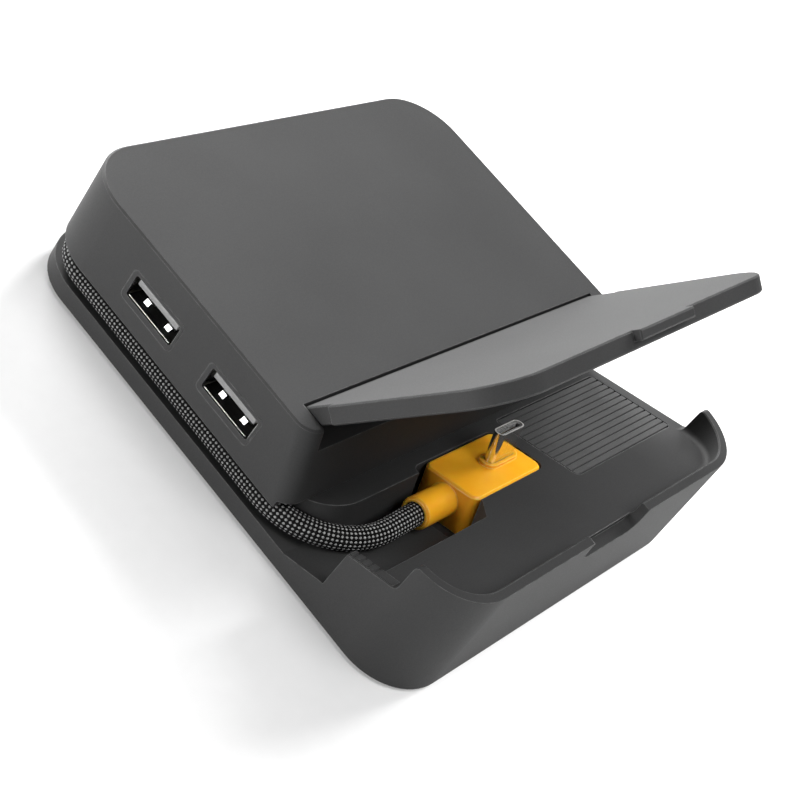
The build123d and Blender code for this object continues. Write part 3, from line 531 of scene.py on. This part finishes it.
# %% Side sockets: tongue, painted shade sheet, lip and leaves
spring_tin = metal_finish(
    "spring_tin", colour=(0.92, 0.92, 0.91), gloss=(0.35, 0.5), lines=ROLLED, line_scale=3000
)
for which, centre in socket_centres.items():
    nose = bmesh.new()
    block(nose, NOSE_SIZE, Matrix.Translation(centre + NOSE_AT), NOSE_ROUND)
    place_piece(f"socket_{which}_nose", nose, carrier_grey)
    # The black sheet on the shell's floor is painted shade, where the floor lies in shadow.
    painted_shade_sheet = bmesh.new()
    block(painted_shade_sheet, SHADE_SHEET_SIZE, Matrix.Translation(centre + SHADE_SHEET_AT), SHADE_SHEET_ROUND)
    place_piece(f"socket_{which}_floor", painted_shade_sheet, carrier_black)
    leaves = bmesh.new()
    block(leaves, LIP_SIZE, Matrix.Translation(centre + LIP_AT), SPRING_ROUND)
    for leaf_at in LEAVES_AT:
        leaf_place = Matrix.Translation(centre + leaf_at) @ LEAF_TILT
        block(leaves, LEAF_SIZE, leaf_place, SPRING_ROUND)
    place_piece(f"socket_{which}_leaves", leaves, spring_tin)

# %% [markdown]
# The right inlay is a grooved rubber mat: thirteen flat ribs on one backing, with fine slits
# between them and a dark line all round where it sits in its pocket. The CAD inlay has fewer
# slits, so a finer mat takes its place. The slits could be cut, but ribs laid side by side
# on a backing are the same shape and keep every face flat.

# %% Right inlay
TRAY_TILT = math.radians(17.8)
MAT_THICK, MAT_GAP = 0.0008, 0.0001
RIB_COUNT, SLIT_WIDE, SLIT_DEEP = 13, 0.00034, 0.00045
BACKING_ROUND, RIB_ROUND = 0.00005, 0.00006
mat_low, mat_high = (Vector(corner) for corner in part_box("tray_pad_right"))
mat_wide = mat_high.x - mat_low.x - 2 * MAT_GAP
front_y = mat_low.y + MAT_THICK * math.sin(TRAY_TILT)
mat_run = (mat_high.y - front_y) / math.cos(TRAY_TILT) - 2 * MAT_GAP
front_top = Vector(((mat_low.x + mat_high.x) / 2, front_y, mat_high.z))
on_slope = Matrix.Translation(front_top) @ Matrix.Rotation(-TRAY_TILT, 4, "X")
mat = bmesh.new()
backing_middle = (0, MAT_GAP + mat_run / 2, -(SLIT_DEEP + MAT_THICK) / 2)
backing = on_slope @ Matrix.Translation(backing_middle)
block(mat, (mat_wide, mat_run, MAT_THICK - SLIT_DEEP), backing, BACKING_ROUND)
rib_pitch = mat_run / RIB_COUNT
for rib in range(RIB_COUNT):
    rib_middle = (0, MAT_GAP + (rib + 0.5) * rib_pitch, -SLIT_DEEP / 2)
    rib_place = on_slope @ Matrix.Translation(rib_middle)
    block(mat, (mat_wide, rib_pitch - SLIT_WIDE, SLIT_DEEP), rib_place, RIB_ROUND)
tray_mat = place_piece("tray_mat_right", mat, pad_rubber)
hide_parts("tray_pad_right")

# %% [markdown]
# The circuit board is hidden in the closed case, but the part may be opened, so it is finished too:
# green solder mask over copper tracks, which show as faint raised lines, and matt black chips.
# Each track could be drawn, but a brick pattern made very flat looks routed by itself.

# %% Board and chips
board_mask, mask_shader = new_finish("board_mask", roughness=0.3)
mask_place = add_node(board_mask, "ShaderNodeTexCoord")
mask_tracks = add_node(
    board_mask,
    "ShaderNodeTexBrick",
    Scale=420.0,
    Mortar_Size=0.06,
    Brick_Width=2.6,
    Row_Height=0.35,
    Color1=(0.006, 0.05, 0.02, 1),
    Color2=(0.008, 0.06, 0.024, 1),
    Mortar=(0.02, 0.12, 0.04, 1),
)
join(board_mask, mask_place.outputs["Object"], mask_tracks.inputs["Vector"])
wire(
    board_mask,
    mask_shader,
    mask_tracks.outputs["Color"],
    gloss_range(board_mask, speckle(board_mask, scale=500), low=0.24, high=0.36),
    relief(board_mask, mask_tracks.outputs["Fac"], distance=0.00003, strength=0.4),
)
dress(board_mask, "circuit_board")
chip_epoxy = carrier_finish(
    "chip_epoxy", dark=(0.014, 0.014, 0.015), light=(0.022, 0.022, 0.023), gloss=(0.45, 0.6)
)
dress(chip_epoxy, "board_chips")

# %% [markdown]
# The cable is a round braided lead. It comes out of the plug's strain relief, turns round the front
# corner of the housing, and lies in a groove along the left side and the back. A curve with a bevel
# would do for a smooth lead, but the braid needs a map that runs along the lead and round it,
# so the curve only gives the line, and a tube is drawn along it ring by ring.

# %% Cable: the line
cable_route = [
    (-0.0170, -0.02762, 0.01039),
    (-0.0253, -0.02762, 0.01039),
    (-0.0392, -0.02762, 0.00833),
    (-0.04905, -0.01778, 0.0067),
    (-0.04905, -0.0036, 0.0067),
    (-0.04905, 0.0374, 0.0067),
    (-0.04905, 0.0443, 0.0067),
    (-0.0441, 0.04925, 0.0067),
    (-0.0372, 0.04925, 0.0067),
    (0.036, 0.04925, 0.0067),
]
line = bpy.data.curves.new("cable_line", "CURVE")
line.dimensions = "3D"
line.resolution_u = 32
spline = line.splines.new("NURBS")
spline.points.add(len(cable_route) - 1)
for point, place in zip(spline.points, cable_route):
    point.co = (*place, 1.0)
spline.order_u = 3
spline.use_endpoint_u = True
line_holder = bpy.data.objects.new("cable_line", line)
cable_points = [v.co.copy() for v in bpy.data.meshes.new_from_object(line_holder).vertices]
bpy.data.objects.remove(line_holder)
cable_length = sum((b - a).length for a, b in zip(cable_points, cable_points[1:]))
print("cable line:", len(cable_points), "points,", round(cable_length, 4), "m")

# %% [markdown]
# The tube starts as one ring of edges, turned to face along the line. Each step pushes the ring
# out, moves it to the next point and swings it half way into the bend there. A spin would do for
# one round bend, but these bends change all the way. Each vertex keeps its share of the turn
# round the lead and its distance along it, which the map needs later.

# %% Cable: the tube
CABLE_RADIUS, CABLE_SIDES = 0.00225, 40
cable_mesh = bmesh.new()
first_ring = bmesh.ops.create_circle(cable_mesh, segments=CABLE_SIDES, radius=CABLE_RADIUS)
ring_verts = first_ring["verts"]
ring_edges = list(cable_mesh.edges)
on_tube = {vert: (index / CABLE_SIDES, 0.0) for index, vert in enumerate(ring_verts)}
heading = (cable_points[1] - cable_points[0]).normalized()
turn = Vector((0, 0, 1)).rotation_difference(heading).to_matrix()
bmesh.ops.rotate(cable_mesh, verts=ring_verts, cent=(0, 0, 0), matrix=turn)
bmesh.ops.translate(cable_mesh, verts=ring_verts, vec=cable_points[0])
run = 0.0
for before, after, last in zip(cable_points, cable_points[1:], cable_points[2:] + [None]):
    last_ring = set(ring_verts)
    grown = bmesh.ops.extrude_edge_only(cable_mesh, edges=ring_edges)["geom"]
    ring_verts = [g for g in grown if isinstance(g, bmesh.types.BMVert)]
    new_edges = [g for g in grown if isinstance(g, bmesh.types.BMEdge)]
    ring_edges = [e for e in new_edges if last_ring.isdisjoint(e.verts)]
    run += (after - before).length
    for vert in ring_verts:
        neighbours = (edge.other_vert(vert) for edge in vert.link_edges)
        behind = next(v for v in neighbours if v in last_ring)
        on_tube[vert] = (on_tube[behind][0], run)
    bmesh.ops.translate(cable_mesh, verts=ring_verts, vec=after - before)
    if last is not None:
        new_heading = ((after - before).normalized() + (last - after).normalized()).normalized()
        swing = heading.rotation_difference(new_heading).to_matrix()
        bmesh.ops.rotate(cable_mesh, verts=ring_verts, cent=after, matrix=swing)
        heading = new_heading
print("cable tube:", len(cable_mesh.faces), "faces")

# %% [markdown]
# The map lays the tube out flat: once round the lead is one unit, and a centimetre along it is
# another. An unwrap would cut the tube where it likes, but the numbers kept with each vertex give
# a straight map. The faces that close the ring would run backwards, so they get one turn more.

# %% Cable: the map round and along it
MAP_PER_METRE = 100
HALF_TURN, FULL_TURN = 0.5, 1.0
braid_map = cable_mesh.loops.layers.uv.new("braid")
for face in cable_mesh.faces:
    face.smooth = True
    turns = [on_tube[loop.vert][0] for loop in face.loops]
    for loop, round_it in zip(face.loops, turns):
        if max(turns) - round_it > HALF_TURN:
            round_it += FULL_TURN
        loop[braid_map].uv = (round_it, on_tube[loop.vert][1] * MAP_PER_METRE)
print("braid map runs to", round(run * MAP_PER_METRE, 2), "along the lead")

# %% [markdown]
# The braid is woven from black yarn one way round and grey yarn the other, so it shows a chequer of
# small lozenges. Real strands could be modelled, but each lozenge is well under a millimetre, so
# the weave is drawn by nodes: two slanting counts, one for each way round, whose whole numbers
# give the chequer and whose fractions the crowns.

# %% Cable: the weave
WEAVE_ROUND, WEAVE_ALONG = 18, 12.5
MID_CELL = 0.5
braid_yarn, braid_shader = new_finish("braid_yarn", roughness=0.7, specular=0.12)
braid_place = add_node(braid_yarn, "ShaderNodeUVMap")
braid_place.uv_map = "braid"
braid_split = add_node(braid_yarn, "ShaderNodeSeparateXYZ")
join(braid_yarn, braid_place.outputs["UV"], braid_split.inputs["Vector"])
round_count = sums(braid_yarn, "MULTIPLY", braid_split.outputs["X"], WEAVE_ROUND)
along_count = sums(braid_yarn, "MULTIPLY", braid_split.outputs["Y"], WEAVE_ALONG)
one_way = sums(braid_yarn, "ADD", round_count, along_count)
other_way = sums(braid_yarn, "SUBTRACT", round_count, along_count)
chequer_place = add_node(braid_yarn, "ShaderNodeCombineXYZ", Z=MID_CELL)
join(braid_yarn, one_way, chequer_place.inputs["X"])
join(braid_yarn, other_way, chequer_place.inputs["Y"])
chequer = add_node(braid_yarn, "ShaderNodeTexChecker", Scale=1.0)
join(braid_yarn, chequer_place.outputs["Vector"], chequer.inputs["Vector"])
along_lead = round(2 * WEAVE_ALONG * MAP_PER_METRE * cable_length)
print("braid:", 2 * WEAVE_ROUND, "lozenges round,", along_lead, "along")

# %% Cable: the yarn
CROWN_LOW, CROWN_HIGH = 0.2, 0.5


def crown(count):
    wave = sums(braid_yarn, "SINE", sums(braid_yarn, "MULTIPLY", count, math.pi))
    return sums(braid_yarn, "ABSOLUTE", wave)


crowns = sums(braid_yarn, "MULTIPLY", crown(one_way), crown(other_way))
lozenge = span(braid_yarn, crowns, CROWN_LOW, CROWN_HIGH)
grey_share = sums(braid_yarn, "MULTIPLY", chequer.outputs["Fac"], lozenge)
fuzz = speckle(braid_yarn, scale=6000)
grey_yarn = shades(braid_yarn, fuzz, dark=(0.3, 0.3, 0.3), light=(0.55, 0.55, 0.55))
black_yarn = shades(braid_yarn, fuzz, dark=(0.002, 0.002, 0.002), light=(0.005, 0.005, 0.005))
wire(
    braid_yarn,
    braid_shader,
    blend_colours(braid_yarn, grey_share, black_yarn, grey_yarn),
    gloss_range(braid_yarn, fuzz, low=0.6, high=0.8),
    relief(braid_yarn, crowns, distance=0.00022, strength=0.9),
)
cable = place_piece("cable_braid", cable_mesh, braid_yarn)
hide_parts("cable")

# %% [markdown]
# The dock lies on white paper in a soft studio. More light would whiten the paper, but bleach the
# dock as well. Instead, the camera and the reflections see the paper three tenths as plain white
# close to the dock, where it keeps the shadow, and wholly white far away.

# %% Stage: the paper
NEAR, FAR = 0.12, 0.45
NEAR_WHITE, FAR_WHITE = 0.3, 1.0
white_paper, paper_shader = new_finish("white_paper", roughness=0.9, specular=0.1)
paper_fibre = speckle(white_paper, scale=300, detail=4.0)
paper_shade = shades(white_paper, paper_fibre, dark=(0.9, 0.9, 0.9), light=(0.92, 0.92, 0.92))
join(white_paper, paper_shade, paper_shader.inputs["Base Color"])
paper_path = add_node(white_paper, "ShaderNodeLightPath")
seen = paper_path.outputs["Is Camera Ray"]
for ray in ("Is Glossy Ray", "Is Transmission Ray"):
    seen = sums(white_paper, "MAXIMUM", seen, paper_path.outputs[ray])
paper_place = add_node(white_paper, "ShaderNodeTexCoord")
paper_reach = add_node(white_paper, "ShaderNodeVectorMath")
paper_reach.operation = "LENGTH"
join(white_paper, paper_place.outputs["Object"], paper_reach.inputs[0])
whiteness = span(white_paper, paper_reach.outputs["Value"], NEAR, FAR, NEAR_WHITE, FAR_WHITE)
seen_white = sums(white_paper, "MULTIPLY", seen, whiteness)
paper_glow = add_node(white_paper, "ShaderNodeEmission")
paper_mix = add_node(white_paper, "ShaderNodeMixShader")
paper_end = white_paper.node_tree.nodes["Material Output"]
join(white_paper, seen_white, paper_mix.inputs[0])
join(white_paper, paper_shader.outputs[0], paper_mix.inputs[1])
join(white_paper, paper_glow.outputs[0], paper_mix.inputs[2])
join(white_paper, paper_mix.outputs[0], paper_end.inputs["Surface"])

# %% Stage: floor
FLOOR_HALF = 3.0
floor_mesh = bmesh.new()
bmesh.ops.create_grid(floor_mesh, x_segments=1, y_segments=1, size=FLOOR_HALF)
shade_sheet = make_object("shade_sheet", floor_mesh, white_paper)

# %% [markdown]
# The light is a small studio of softboxes, all aimed at the dock: one overhead, one behind and one
# on each side. The right one is the strongest, and reflections leave it out, so the case stays
# matt there. Two more show only in reflections, as the gloss along the back and the left.
# A lit world could do all of it at once, but lamps can be set one by one, so the world only fills.

# %% Stage: light
FILL = 0.03
AIM = Vector((0, 0, 0.02))
world = bpy.data.worlds.new("studio")
bpy.context.scene.world = world
world.use_nodes = True
world.node_tree.nodes["Background"].inputs["Color"].default_value = (1, 1, 1, 1)
world.node_tree.nodes["Background"].inputs["Strength"].default_value = FILL


def softbox(name, place, size, power):
    data = bpy.data.lights.new(name, "AREA")
    data.energy = power
    data.size = size
    lamp = bpy.data.objects.new(name, data)
    bpy.context.scene.collection.objects.link(lamp)
    lamp.location = place
    lamp.rotation_euler = (AIM - lamp.location).to_track_quat("-Z", "Y").to_euler()
    print(name, "lamp:", power, "W")
    return lamp


softbox("overhead", place=(0.06, -0.36, 0.93), size=0.6, power=7.0)
softbox("back", place=(0.35, 0.85, 0.3), size=0.6, power=11.0)
softbox("left", place=(-0.9, 0.35, 0.15), size=0.5, power=4.2)
right = softbox("right", place=(0.85, 0.1, 0.5), size=0.6, power=33.0)
right.visible_glossy = False
back_gloss = softbox("back_gloss", place=(0.2, 0.85, 0.42), size=0.4, power=11.0)
back_gloss.visible_diffuse = False
left_gloss = softbox("left_gloss", place=(-0.6, 0.3, 0.08), size=0.3, power=4.0)
left_gloss.visible_diffuse = False
bpy.context.scene.view_settings.view_transform = "Standard"
